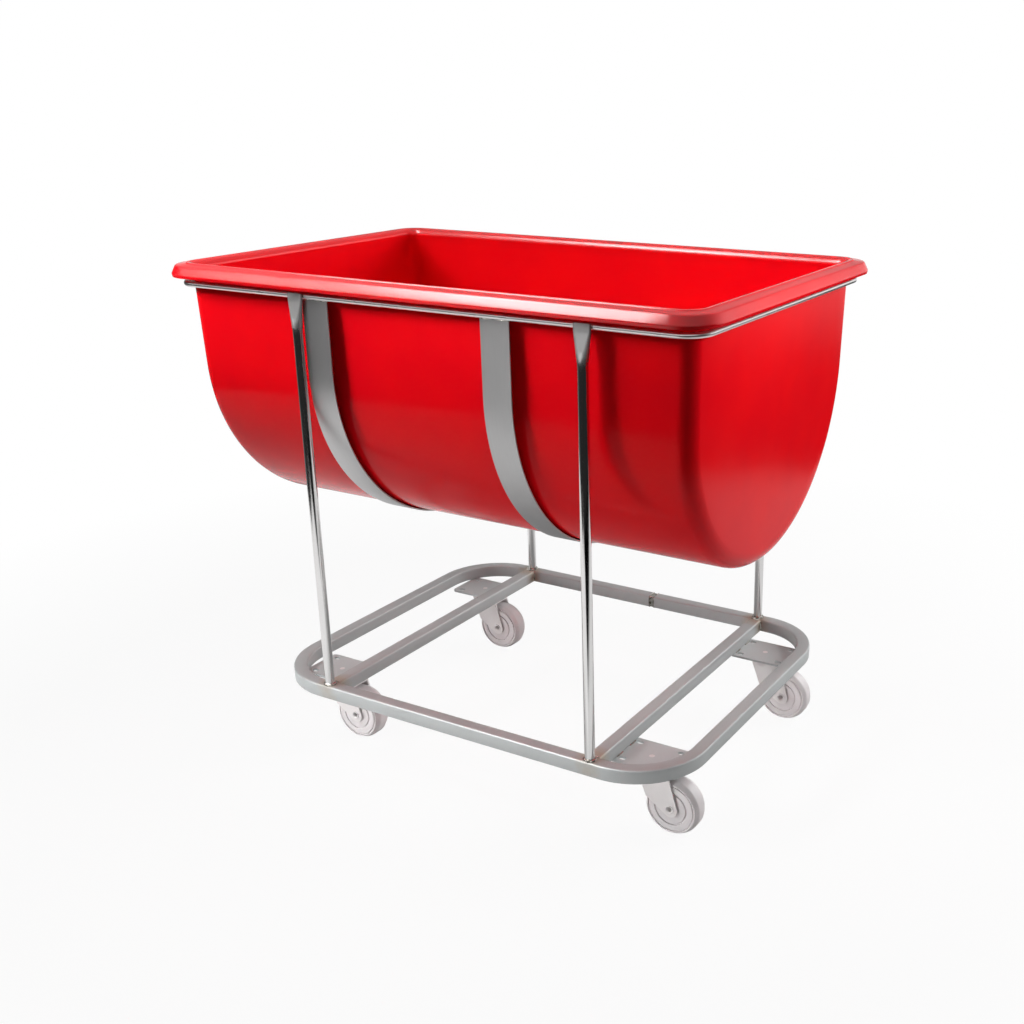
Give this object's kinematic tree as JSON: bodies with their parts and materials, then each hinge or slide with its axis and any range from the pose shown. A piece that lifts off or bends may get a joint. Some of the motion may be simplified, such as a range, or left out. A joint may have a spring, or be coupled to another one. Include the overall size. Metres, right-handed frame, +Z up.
{
  "type": "dough trough",
  "caption": "Mobile dough trough: a deep U-shaped moulded tub with a rolled rim that lifts out of a welded steel tube frame on swivel castors.",
  "frame": {"origin": "on the floor, under the middle of the tub", "axes": "+X along the tub towards its right end, +Y to the back, +Z up"},
  "size_m": [1.073, 0.6858, 0.8945],
  "materials": {
    "tub_red": "gloss moulded",
    "polished_steel": "polished",
    "satin_steel": "satin",
    "castor_steel": "satin",
    "bearing_steel": "ground",
    "nylon": "moulded"
  },
  "bodies": {
    "frame": {"top_ring": "polished_steel", "strap_left": "satin_steel", "strap_right": "satin_steel", "front_left_leg": "polished_steel", "front_right_leg": "polished_steel", "back_left_leg": "polished_steel", "back_right_leg": "polished_steel", "base_loop": "satin_steel", "base_splice": "satin_steel", "cross_left": "satin_steel", "cross_right": "satin_steel", "front_left_castor_plate": "castor_steel", "front_left_castor_kingpin": "castor_steel", "front_left_castor_balls": "bearing_steel", "front_right_castor_plate": "castor_steel", "front_right_castor_kingpin": "castor_steel", "front_right_castor_balls": "bearing_steel", "back_left_castor_plate": "castor_steel", "back_left_castor_kingpin": "castor_steel", "back_left_castor_balls": "bearing_steel", "back_right_castor_plate": "castor_steel", "back_right_castor_kingpin": "castor_steel", "back_right_castor_balls": "bearing_steel"},
    "tub": {"tub": "tub_red"},
    "front_left_swivel": {"front_left_castor_fork": "castor_steel", "front_left_castor_axle": "castor_steel"},
    "front_left_wheel": {"front_left_castor_wheel": "nylon", "front_left_castor_bush": "bearing_steel"},
    "front_right_swivel": {"front_right_castor_fork": "castor_steel", "front_right_castor_axle": "castor_steel"},
    "front_right_wheel": {"front_right_castor_wheel": "nylon", "front_right_castor_bush": "bearing_steel"},
    "back_left_swivel": {"back_left_castor_fork": "castor_steel", "back_left_castor_axle": "castor_steel"},
    "back_left_wheel": {"back_left_castor_wheel": "nylon", "back_left_castor_bush": "bearing_steel"},
    "back_right_swivel": {"back_right_castor_fork": "castor_steel", "back_right_castor_axle": "castor_steel"},
    "back_right_wheel": {"back_right_castor_wheel": "nylon", "back_right_castor_bush": "bearing_steel"}
  },
  "joints": [
    {"name": "tub_lift", "type": "slide", "parent": "frame", "child": "tub", "axis": [0, 0, 1], "range_m": [0, 0.5]},
    {"name": "front_left_swivel_turn", "type": "hinge", "parent": "frame", "child": "front_left_swivel", "pos_m": [-0.2895, -0.2301, 0.118], "axis": [0, 0, 1], "continuous": true},
    {"name": "front_left_wheel_roll", "type": "hinge", "parent": "front_left_swivel", "child": "front_left_wheel", "pos_m": [-0.2445, -0.2301, 0.05], "axis": [0, 1, 0], "continuous": true},
    {"name": "front_right_swivel_turn", "type": "hinge", "parent": "frame", "child": "front_right_swivel", "pos_m": [0.3895, -0.2301, 0.118], "axis": [0, 0, 1], "continuous": true},
    {"name": "front_right_wheel_roll", "type": "hinge", "parent": "front_right_swivel", "child": "front_right_wheel", "pos_m": [0.4345, -0.2301, 0.05], "axis": [0, 1, 0], "continuous": true},
    {"name": "back_left_swivel_turn", "type": "hinge", "parent": "frame", "child": "back_left_swivel", "pos_m": [-0.2895, 0.2301, 0.118], "axis": [0, 0, 1], "continuous": true},
    {"name": "back_left_wheel_roll", "type": "hinge", "parent": "back_left_swivel", "child": "back_left_wheel", "pos_m": [-0.2445, 0.2301, 0.05], "axis": [0, 1, 0], "continuous": true},
    {"name": "back_right_swivel_turn", "type": "hinge", "parent": "frame", "child": "back_right_swivel", "pos_m": [0.3895, 0.2301, 0.118], "axis": [0, 0, 1], "continuous": true},
    {"name": "back_right_wheel_roll", "type": "hinge", "parent": "back_right_swivel", "child": "back_right_wheel", "pos_m": [0.4345, 0.2301, 0.05], "axis": [0, 1, 0], "continuous": true}
  ]
}
